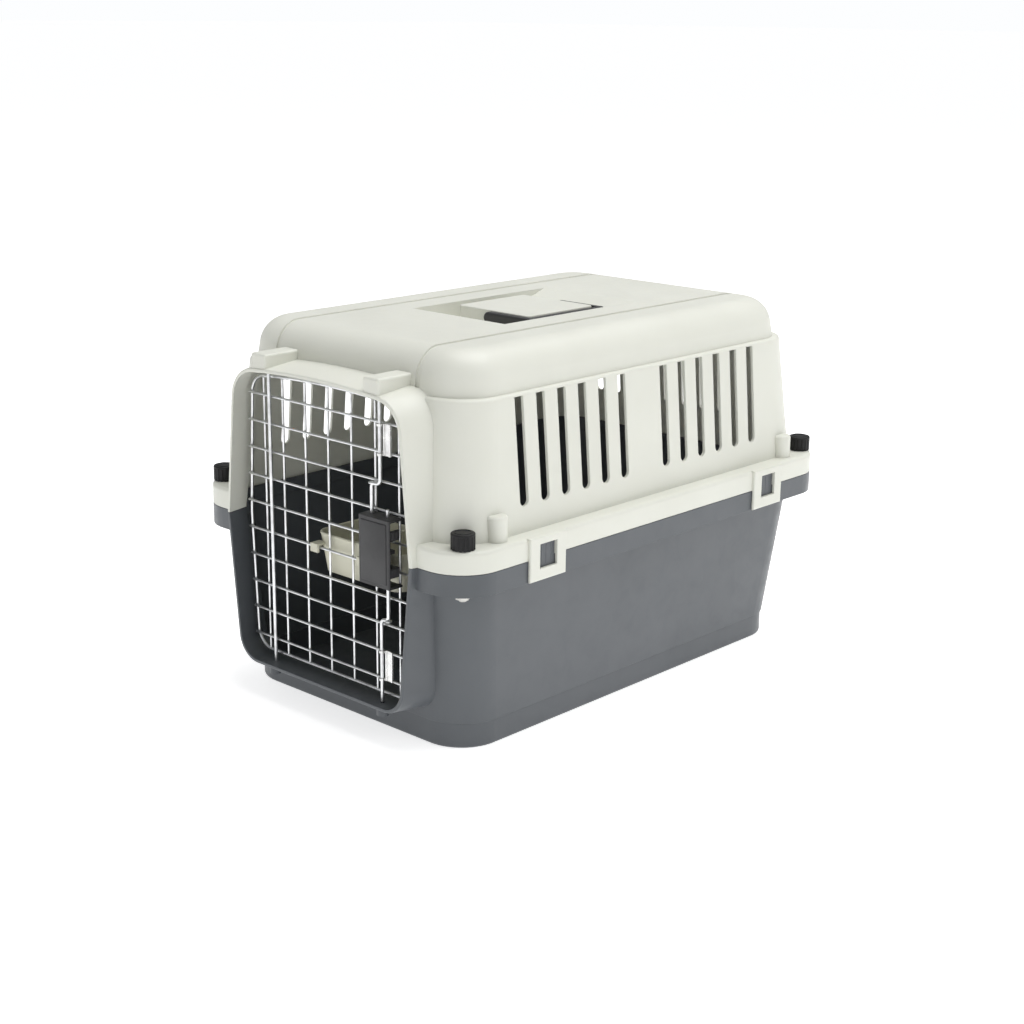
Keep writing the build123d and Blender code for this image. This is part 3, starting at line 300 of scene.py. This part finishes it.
# ---------------------------------------------------------------- generated details
class Tree(Nodes):
    """A geometry tree with named inputs, closed by Realize Instances and Set Material."""

    def __init__(self, name: str, sizes: Sizes) -> None:
        """Starts the tree.

        Args:
            name: the tree's name.
            sizes: name of each input to its value.
        """
        super().__init__(bpy.data.node_groups.new(name, "GeometryNodeTree"))
        self.ids: dict[str, str] = {}
        self.values = dict(sizes)
        for label, value in sizes.items():
            kind = "NodeSocketVector" if isinstance(value, tuple) else "NodeSocketFloat"
            kind = "NodeSocketInt" if isinstance(value, int) else kind
            socket = self.tree.interface.new_socket(name=label, in_out="INPUT", socket_type=kind)
            self.ids[label] = socket.identifier
        self.tree.interface.new_socket(name="Geometry", in_out="OUTPUT", socket_type="NodeSocketGeometry")
        self.entry = self.add("NodeGroupInput")

    def size(self, label: str) -> bpy.types.NodeSocket:
        """The output socket of a named input."""
        return self.entry.outputs[label]

    def close(self, geometry: bpy.types.NodeSocket, material: bpy.types.Material) -> None:
        """Ends the tree.

        Args:
            geometry: what the tree has made.
            material: its finish.
        """
        real = self.add("GeometryNodeRealizeInstances")
        paint = self.add("GeometryNodeSetMaterial", {"Material": material})
        exit_node = self.add("NodeGroupOutput")
        self.link(geometry, real.inputs["Geometry"])
        self.link(real.outputs["Geometry"], paint.inputs["Geometry"])
        self.link(paint.outputs["Geometry"], exit_node.inputs["Geometry"])

    def moved(self, geometry: bpy.types.NodeSocket, place: str) -> bpy.types.NodeSocket:
        """Carries geometry to a named place.

        Args:
            geometry: what is moved.
            place: the vector input that says where to.

        Returns:
            The moved geometry.
        """
        carry = self.add("GeometryNodeTransform")
        self.link(geometry, carry.inputs["Geometry"])
        self.link(self.size(place), carry.inputs["Translation"])
        return carry.outputs["Geometry"]

    def grow(self, name: str) -> bpy.types.Object:
        """Evaluates the tree into a plain mesh object.

        Args:
            name: the object's name.

        Returns:
            The object, with no modifier left on it.
        """
        piece = bpy.data.objects.new(name, bpy.data.meshes.new(name))
        bpy.context.scene.collection.objects.link(piece)
        modifier = piece.modifiers.new("tree", "NODES")
        modifier.node_group = self.tree
        for label, identifier in self.ids.items():
            modifier[identifier] = self.values[label]
        bpy.context.view_layer.update()
        depsgraph = bpy.context.evaluated_depsgraph_get()
        plain = bpy.data.meshes.new_from_object(piece.evaluated_get(depsgraph))
        piece.modifiers.clear()
        piece.data = plain
        plain.shade_smooth()
        plain.set_sharp_from_angle(angle=SMOOTH_WITHIN)
        log.info("grew %s with %d faces", name, len(plain.polygons))
        return piece


def coil(name: str, sizes: Sizes, material: bpy.types.Material, sides: int) -> bpy.types.Object:
    """Round wire wound about an upright axis, as the crest of a thread is.

    Args:
        name: the object's name.
        sizes: Turns, Radius, Wire radius, Height and Foot.
        material: the finish.
        sides: corners of the wire's section.

    Returns:
        The coil as one mesh.
    """
    tree = Tree(name, sizes)
    spiral = tree.add("GeometryNodeCurveSpiral", {"Resolution": COIL_STEPS})
    tree.link(tree.size("Turns"), spiral.inputs["Rotations"])
    tree.link(tree.size("Radius"), spiral.inputs["Start Radius"])
    tree.link(tree.size("Radius"), spiral.inputs["End Radius"])
    tree.link(tree.size("Height"), spiral.inputs["Height"])
    section = tree.add("GeometryNodeCurvePrimitiveCircle", {"Resolution": sides})
    tree.link(tree.size("Wire radius"), section.inputs["Radius"])
    wire = tree.add("GeometryNodeCurveToMesh", {"Fill Caps": True})
    tree.link(spiral.outputs["Curve"], wire.inputs["Curve"])
    tree.link(section.outputs["Curve"], wire.inputs["Profile Curve"])
    tree.close(tree.moved(wire.outputs["Mesh"], "Foot"), material)
    return tree.grow(name)


def row_of_bars(name: str, sizes: Sizes, material: bpy.types.Material) -> bpy.types.Object:
    """Small upright round bars in a straight row.

    Args:
        name: the object's name.
        sizes: Count, Step, First, Bar radius and Bar length.
        material: the finish.

    Returns:
        The bars as one mesh.
    """
    tree = Tree(name, sizes)
    line = tree.add("GeometryNodeMeshLine")
    tree.link(tree.size("Count"), line.inputs["Count"])
    tree.link(tree.size("First"), line.inputs["Start Location"])
    tree.link(tree.size("Step"), line.inputs["Offset"])
    bar = tree.add("GeometryNodeMeshCylinder", {"Vertices": BAR_SIDES})
    tree.link(tree.size("Bar radius"), bar.inputs["Radius"])
    tree.link(tree.size("Bar length"), bar.inputs["Depth"])
    place = tree.add("GeometryNodeInstanceOnPoints")
    tree.link(line.outputs["Mesh"], place.inputs["Points"])
    tree.link(bar.outputs["Mesh"], place.inputs["Instance"])
    tree.close(place.outputs["Instances"], material)
    return tree.grow(name)


def middle(node: str) -> Vector:
    """The centre of a node's box."""
    low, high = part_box(node)
    return (Vector(low) + Vector(high)) / 2


def joined(name: str, shapes: list[bmesh.types.BMesh], material: bpy.types.Material) -> bpy.types.Object:
    """Makes one object from built shapes.

    Args:
        name: the object's name.
        shapes: meshes, which are used up.
        material: the finish.

    Returns:
        The new object.
    """
    whole = bpy.data.meshes.new(name)
    total = bmesh.new()
    for shape in shapes:
        part = bpy.data.meshes.new(name + "_part")
        shape.to_mesh(part)
        shape.free()
        total.from_mesh(part)
        bpy.data.meshes.remove(part)
    bmesh.ops.recalc_face_normals(total, faces=total.faces)
    total.to_mesh(whole)
    total.free()
    whole.materials.append(material)
    whole.shade_smooth()
    whole.set_sharp_from_angle(angle=SMOOTH_WITHIN)
    piece = bpy.data.objects.new(name, whole)
    bpy.context.scene.collection.objects.link(piece)
    log.info("made %s with %d faces", name, len(whole.polygons))
    return piece


def rounded_block(low: Point, high: Point, radius: float, segments: int = 3) -> bmesh.types.BMesh:
    """A box with every edge rounded.

    Args:
        low: its lowest corner.
        high: its highest corner.
        radius: the rounding.
        segments: faces across the rounding.

    Returns:
        The shape.
    """
    shape = bmesh.new()
    bmesh.ops.create_cube(shape, size=1)
    size = [b - a for a, b in zip(low, high)]
    centre = [(a + b) / 2 for a, b in zip(low, high)]
    for vertex in shape.verts:
        vertex.co = Vector(c + v * s for c, v, s in zip(centre, vertex.co, size))
    bmesh.ops.bevel(shape, geom=list(shape.edges), offset=radius, segments=segments, profile=0.5,
                    affect="EDGES", clamp_overlap=True)
    return shape


def collar(x: float, y: float, z: float, radius: float, thick: float) -> bmesh.types.BMesh:
    """A ring about an upright rod.

    Args:
        x: rod place.
        y: rod place.
        z: ring height.
        radius: the ring's middle radius.
        thick: the radius of its section.

    Returns:
        The shape.
    """
    around, across = 32, 10
    shape = bmesh.new()
    rings = []
    for i in range(around):
        a = 2 * math.pi * i / around
        ring = []
        for j in range(across):
            b = 2 * math.pi * j / across
            reach = radius + thick * math.cos(b)
            point = (x + reach * math.cos(a), y + reach * math.sin(a), z + thick * math.sin(b))
            ring.append(shape.verts.new(point))
        rings.append(ring)
    for i in range(around):
        for j in range(across):
            k, m = (i + 1) % around, (j + 1) % across
            shape.faces.new((rings[i][j], rings[k][j], rings[k][m], rings[i][m]))
    return shape


def tube(points: list[Point], radius: float, across: int = 12) -> bmesh.types.BMesh:
    """A closed round tube along a level loop.

    Args:
        points: the loop's points, in order.
        radius: the tube's radius.
        across: corners of its section.

    Returns:
        The shape.
    """
    shape = bmesh.new()
    rings = []
    count = len(points)
    for i, point in enumerate(points):
        ahead = Vector(points[(i + 1) % count]) - Vector(points[i - 1])
        side = ahead.normalized().cross(Vector((0, 0, 1)))
        ring = []
        for j in range(across):
            b = 2 * math.pi * j / across
            offset = side * math.cos(b) + Vector((0, 0, 1)) * math.sin(b)
            ring.append(shape.verts.new(Vector(point) + radius * offset))
        rings.append(ring)
    for i in range(count):
        for j in range(across):
            k, m = (i + 1) % count, (j + 1) % across
            shape.faces.new((rings[i][j], rings[k][j], rings[k][m], rings[i][m]))
    return shape


# ---------------------------------------------------------------- sub-assemblies
@dataclass
class Shells:
    """The cream cover and the slate tub, with the ribs that show in the clip windows."""

    frame: dict
    finishes: Finishes
    front_end_to_window: float = 100.5 * MM
    rear_end_to_window: float = 98.0 * MM
    window_z: float = 164.6 * MM
    catch_ribs: int = 3
    catch_rib: float = 1.3 * MM
    catch_rib_proud: float = 0.35 * MM
    catch_rib_length: float = 16.0 * MM
    catch_rib_step: float = 5.4 * MM

    def build(self) -> None:
        """Dresses both shells and adds the catch ribs of each side."""
        dress(self.frame, ("top_shell",), self.finishes.cream)
        dress(self.frame, ("bottom_shell",), self.finishes.grey)
        low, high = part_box("bottom_shell")
        ys = {"front": low[1] + self.front_end_to_window, "rear": high[1] - self.rear_end_to_window}
        for end, y in ys.items():
            for side, sign in (("left", -1), ("right", 1)):
                x = sign * (high[0] + self.catch_rib_proud - self.catch_rib)
                first_y = y - self.catch_rib_step * (self.catch_ribs - 1) / 2
                sizes = {"Count": self.catch_ribs, "First": (x, first_y, self.window_z),
                         "Step": (0.0, self.catch_rib_step, 0.0), "Bar radius": self.catch_rib,
                         "Bar length": self.catch_rib_length}
                ribs = row_of_bars("catch_ribs_" + end + "_" + side, sizes, self.finishes.grey)
                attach(ribs, "base")


@dataclass
class RimFasteners:
    """The four hand knobs with their raised crowns, and the screws with their threads."""

    frame: dict
    finishes: Finishes
    crown_inset: float = 3.0 * MM
    crown_bead: float = 0.55 * MM
    thread_pitch: float = 1.0 * MM
    thread_crest: float = 0.32 * MM
    thread_sides: int = 6

    def build(self) -> None:
        """Dresses the nodes and adds the details of every corner."""
        for corner in CORNERS:
            knob, screw, nut = "knob_" + corner, "screw_" + corner, "nut_" + corner
            dress(self.frame, (knob,), self.finishes.black)
            dress(self.frame, (screw, nut), self.finishes.screw)
            body = "knob_screw_" + corner
            thread = self.thread(corner, screw, nut)
            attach(thread, body)
            crown = self.crown(corner, knob)
            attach(crown, body)

    def crown(self, corner: str, knob: str) -> bpy.types.Object:
        """The bead around the middle of a knob's top.

        Args:
            corner: the corner's name.
            knob: the knob node.

        Returns:
            The bead.
        """
        low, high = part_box(knob)
        centre = middle(knob)
        radius = (high[0] - low[0]) / 2 - self.crown_inset
        ring = collar(centre.x, centre.y, high[2], radius, self.crown_bead)
        return joined("crown_" + corner, [ring], self.finishes.black)

    def thread(self, corner: str, screw: str, nut: str) -> bpy.types.Object:
        """The thread on the screw's free end.

        Args:
            corner: the corner's name.
            screw: the screw node.
            nut: the nut node.

        Returns:
            The thread.
        """
        low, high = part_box(screw)
        nut_low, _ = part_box(nut)
        centre = middle(screw)
        height = nut_low[2] - low[2] - 2 * self.thread_crest
        sizes = {"Turns": height / self.thread_pitch, "Radius": (high[0] - low[0]) / 2,
                 "Wire radius": self.thread_crest, "Height": height,
                 "Foot": (centre.x, centre.y, low[2] + self.thread_crest)}
        return coil("thread_" + corner, sizes, self.finishes.screw, self.thread_sides)


@dataclass
class DoorGrid:
    """The wire door with its hinge rod, guides and weld beads."""

    frame: dict
    finishes: Finishes
    rows: int = 10
    inner_columns: int = 5
    column_pitch: float = 28.5 * MM
    wire_radius: float = 1.1 * MM
    bead_radius: float = 1.0 * MM
    bead_segments: int = 10
    bead_rings: int = 6

    def build(self) -> None:
        """Dresses the wires and adds the beads where they cross."""
        dress(self.frame, ("door_frame", "door_columns", "hinge_rod"), self.finishes.wire)
        dress(self.frame, ("door_rows",), self.finishes.cross_wire)
        dress(self.frame, ("rod_guide_upper", "rod_guide_lower"), self.finishes.plate)
        column_low, column_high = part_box("door_columns")
        half_run = self.column_pitch * (self.inner_columns - 1) / 2
        self.beads("weld_beads_middle", self.inner_columns, -half_run)
        self.beads("weld_beads_left", 1, column_low[0] + self.wire_radius)
        self.beads("weld_beads_right", 1, column_high[0] - self.wire_radius)

    def beads(self, name: str, columns: int, first_x: float) -> None:
        """Weld beads along some of the upright wires, one at every cross wire.

        Args:
            name: the object's name.
            columns: how many upright wires.
            first_x: the first one's place.
        """
        row_low, row_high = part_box("door_rows")
        column_low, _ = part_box("door_columns")
        low_z = row_low[2] + self.wire_radius
        pitch = (row_high[2] - row_low[2] - 2 * self.wire_radius) / (self.rows - 1)
        sizes = {"Columns": columns, "Rows": self.rows, "First": (first_x, column_low[1], low_z),
                 "Column step": (self.column_pitch, 0.0, 0.0), "Row step": (0.0, 0.0, pitch),
                 "Bead": self.bead_radius}
        tree = Tree(name, sizes)
        across = tree.add("GeometryNodeMeshLine")
        tree.link(tree.size("Columns"), across.inputs["Count"])
        tree.link(tree.size("First"), across.inputs["Start Location"])
        tree.link(tree.size("Column step"), across.inputs["Offset"])
        upward = tree.add("GeometryNodeMeshLine")
        tree.link(tree.size("Rows"), upward.inputs["Count"])
        tree.link(tree.size("Row step"), upward.inputs["Offset"])
        bead = tree.add("GeometryNodeMeshUVSphere", {
            "Segments": self.bead_segments, "Rings": self.bead_rings})
        tree.link(tree.size("Bead"), bead.inputs["Radius"])
        one_column = tree.add("GeometryNodeInstanceOnPoints")
        tree.link(upward.outputs["Mesh"], one_column.inputs["Points"])
        tree.link(bead.outputs["Mesh"], one_column.inputs["Instance"])
        every_column = tree.add("GeometryNodeInstanceOnPoints")
        tree.link(across.outputs["Mesh"], every_column.inputs["Points"])
        tree.link(one_column.outputs["Instances"], every_column.inputs["Instance"])
        tree.close(every_column.outputs["Instances"], self.finishes.wire)
        piece = tree.grow(name)
        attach(piece, "door")


@dataclass
class Latch:
    """The latch: case, bolts, finger pads and springs."""

    frame: dict
    finishes: Finishes
    plate_inset: float = 3.2 * MM
    plate_proud: float = 0.7 * MM
    plate_round: float = 0.6 * MM
    ridge: float = 0.6 * MM
    ridges: int = 6
    jog_over_case: float = 25.0 * MM
    jog_under_case: float = 31.0 * MM
    eye_section: float = 0.9 * MM

    def build(self) -> None:
        """Dresses the nodes and adds the face plate, the pads' ridges and the rods' eyes."""
        dress(self.frame, ("latch_case", "finger_pad_upper", "finger_pad_lower"), self.finishes.latch)
        dress(self.frame, ("bolt_rod_upper", "bolt_rod_lower"), self.finishes.wire)
        dress(self.frame, ("latch_spring_upper", "latch_spring_lower"), self.finishes.spring)
        self.face_plate()
        self.pad_ridges("upper")
        self.pad_ridges("lower")
        case_low, case_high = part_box("latch_case")
        self.rod_eye("upper", case_high[2] + self.jog_over_case)
        self.rod_eye("lower", case_low[2] - self.jog_under_case)

    def face_plate(self) -> None:
        """The raised panel on the case's front."""
        low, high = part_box("latch_case")
        inset = self.plate_inset
        shape = rounded_block((low[0] + inset, low[1] - self.plate_proud, low[2] + inset),
                              (high[0] - inset, low[1] + self.plate_proud, high[2] - inset),
                              self.plate_round)
        piece = joined("latch_face_plate", [shape], self.finishes.latch)
        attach(piece, "door")

    def pad_ridges(self, which: str) -> None:
        """Grip ridges on a finger pad's turned edge.

        Args:
            which: upper or lower.
        """
        low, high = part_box("finger_pad_" + which)
        step = (high[1] - low[1] - 4 * self.ridge) / (self.ridges - 1)
        sizes = {"Count": self.ridges, "First": (high[0], low[1] + 2 * self.ridge, (low[2] + high[2]) / 2),
                 "Step": (0.0, step, 0.0), "Bar radius": self.ridge,
                 "Bar length": high[2] - low[2] - 2 * self.ridge}
        ridges = row_of_bars("pad_ridges_" + which, sizes, self.finishes.latch)
        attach(ridges, which + "_bolt")

    def rod_eye(self, which: str, z: float) -> None:
        """The rolled eye where a bolt rod turns sideways.

        Args:
            which: upper or lower.
            z: height of the jog.
        """
        low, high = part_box("bolt_rod_" + which)
        radius = (high[1] - low[1]) / 2
        x = low[0] + radius if which == "upper" else high[0] - radius
        ring = collar(x, (low[1] + high[1]) / 2, z, radius + self.eye_section / 2, self.eye_section)
        piece = joined("rod_eye_" + which, [ring], self.finishes.wire)
        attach(piece, which + "_bolt")


@dataclass
class RoofHandle:
    """The folding handle with its grip ribs, and its pins."""

    frame: dict
    finishes: Finishes
    grip_w: float = 8.2 * MM
    rib: float = 1.1 * MM
    rib_proud: float = 0.6 * MM
    rib_height: float = 6.5 * MM
    ribs: int = 11
    rib_run: float = 62.0 * MM

    def build(self) -> None:
        """Dresses the handle and ribs the inner side of its grip."""
        dress(self.frame, ("carry_handle",), self.finishes.handle)
        dress(self.frame, ("handle_pin_front", "handle_pin_rear"), self.finishes.screw)
        _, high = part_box("carry_handle")
        centre = middle("carry_handle")
        x = high[0] - self.grip_w + self.rib - self.rib_proud
        step = self.rib_run / (self.ribs - 1)
        sizes = {"Count": self.ribs, "First": (x, centre.y - self.rib_run / 2, centre.z),
                 "Step": (0.0, step, 0.0), "Bar radius": self.rib, "Bar length": self.rib_height}
        ribs = row_of_bars("handle_grip_ribs", sizes, self.finishes.handle)
        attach(ribs, "handle")


@dataclass
class Bowl:
    """The feeding bowl on the door, with its rolled lip."""

    frame: dict
    finishes: Finishes
    hook_reach: float = 7.9 * MM
    lip: float = 1.3 * MM
    lip_inward: float = 0.7     # the lip's middle, in from the rim, as a share of its radius
    lip_down: float = 0.4       # and down from it
    corner: float = 11.0 * MM
    corner_steps: int = 10

    def build(self) -> None:
        """Dresses the bowl and rolls its lip."""
        dress(self.frame, ("feeding_bowl",), self.finishes.bowl)
        low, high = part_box("feeding_bowl")
        inset = self.lip * self.lip_inward
        x0, x1 = low[0] + inset, high[0] - inset
        y0, y1 = low[1] + self.hook_reach + inset, high[1] - inset
        z = high[2] - self.lip * self.lip_down
        path = self.rounded_path(x0, x1, y0, y1)
        shape = tube([(x, y, z) for x, y in path], self.lip)
        piece = joined("bowl_lip", [shape], self.finishes.bowl)
        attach(piece, "bowl")

    def rounded_path(self, x0: float, x1: float, y0: float, y1: float) -> list[tuple[float, float]]:
        """A rounded rectangle.

        Args:
            x0: left side.
            x1: right side.
            y0: front side.
            y1: back side.

        Returns:
            Its points, in order.
        """
        r = self.corner
        centres = ((x1 - r, y1 - r, 0), (x0 + r, y1 - r, 90), (x0 + r, y0 + r, 180), (x1 - r, y0 + r, 270))
        points = []
        for x, y, start in centres:
            for i in range(self.corner_steps + 1):
                a = math.radians(start + 90 * i / self.corner_steps)
                points.append((x + r * math.cos(a), y + r * math.sin(a)))
        return points


# ---------------------------------------------------------------- studio
@dataclass(frozen=True)
class SoftLight:
    """A square soft light."""

    name: str
    place: Point
    aim: Point
    size: float
    watts: float

    def build(self) -> None:
        """Adds the light, turned to its aim."""
        data = bpy.data.lights.new(self.name, "AREA")
        data.size = self.size
        data.energy = self.watts
        light = bpy.data.objects.new(self.name, data)
        light.location = self.place
        direction = Vector(self.aim) - Vector(self.place)
        light.rotation_euler = direction.to_track_quat("-Z", "Y").to_euler()
        bpy.context.scene.collection.objects.link(light)


@dataclass
class Studio:
    """Pale floor, soft lights and the camera."""

    eye: Point = (1.0636, -1.1568, 0.5841)
    turn_deg: float = 42.90
    pitch_deg: float = 15.95
    roll_deg: float = 0.62
    lens_mm: float = 61.8
    sensor_mm: float = 36.0
    floor_reach: float = 60.0
    floor_glow: float = 0.665
    floor_shade: float = 0.93
    floor_roughness: float = 0.7
    sky: Colour = (0.98, 0.99, 1.0)
    backdrop: float = 1.0
    ambient: float = 0.36
    lights: tuple[SoftLight, ...] = (
        SoftLight("key_light", (2.1, 0.1, 1.7), (0, 0, 0.16), 1.2, 5.0),
        SoftLight("top_light", (0.3, 0.5, 2.6), (0, 0, 0.2), 2.2, 56.0),
        SoftLight("fill_light", (0.4, -2.4, 1.5), (0, -0.1, 0.2), 1.4, 3.0),
    )

    def build(self) -> None:
        """Sets the whole studio."""
        self.camera()
        self.floor()
        self.surround_light()
        for light in self.lights:
            light.build()
        bpy.context.scene.view_settings.view_transform = "Standard"

    def camera(self) -> None:
        """Puts the camera in its place."""
        turn, pitch, roll = (math.radians(a) for a in (self.turn_deg, self.pitch_deg, self.roll_deg))
        ahead = math.cos(pitch)
        forward = Vector((-math.sin(turn) * ahead, math.cos(turn) * ahead, -math.sin(pitch)))
        level = Vector((math.cos(turn), math.sin(turn), 0))
        rise = level.cross(forward)
        right = math.cos(roll) * level + math.sin(roll) * rise
        up = -math.sin(roll) * level + math.cos(roll) * rise
        data = bpy.data.cameras.new("camera")
        data.sensor_width = self.sensor_mm
        data.lens = self.lens_mm
        camera = bpy.data.objects.new("camera", data)
        bpy.context.scene.collection.objects.link(camera)
        camera.matrix_world = Matrix((right, up, -forward)).transposed().to_4x4()
        camera.location = self.eye
        bpy.context.scene.camera = camera

    def floor(self) -> None:
        """Lays the floor."""
        material, _, shader = new_surface("pale_floor")
        shader.inputs["Base Color"].default_value = (*[self.floor_shade] * 3, 1)
        shader.inputs["Roughness"].default_value = self.floor_roughness
        shader.inputs["Emission Color"].default_value = (1, 1, 1, 1)
        shader.inputs["Emission Strength"].default_value = self.floor_glow
        shape = bmesh.new()
        bmesh.ops.create_grid(shape, x_segments=1, y_segments=1, size=self.floor_reach)
        piece = joined("floor", [shape], material)

    def surround_light(self) -> None:
        """Lights the scene evenly from all around, with a white backdrop."""
        world = bpy.data.worlds.new("studio")
        bpy.context.scene.world = world
        world.use_nodes = True
        nodes = Nodes(world.node_tree)
        back = next(n for n in world.node_tree.nodes if n.type == "BACKGROUND")
        back.inputs["Color"].default_value = (*self.sky, 1)
        seen = nodes.add("ShaderNodeLightPath")
        level = nodes.add("ShaderNodeMapRange", {"To Min": self.ambient, "To Max": self.backdrop})
        nodes.link(seen.outputs["Is Camera Ray"], level.inputs["Value"])
        nodes.link(level.outputs["Result"], back.inputs["Strength"])


def main() -> None:
    """Builds the carrier's looks in order."""
    logging.basicConfig(level=logging.INFO, format="%(name)s: %(message)s")
    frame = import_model()
    finishes = Finishes.build()
    Shells(frame, finishes).build()
    RimFasteners(frame, finishes).build()
    DoorGrid(frame, finishes).build()
    Latch(frame, finishes).build()
    RoofHandle(frame, finishes).build()
    Bowl(frame, finishes).build()
    Studio().build()


if __name__ == "__main__":
    main()
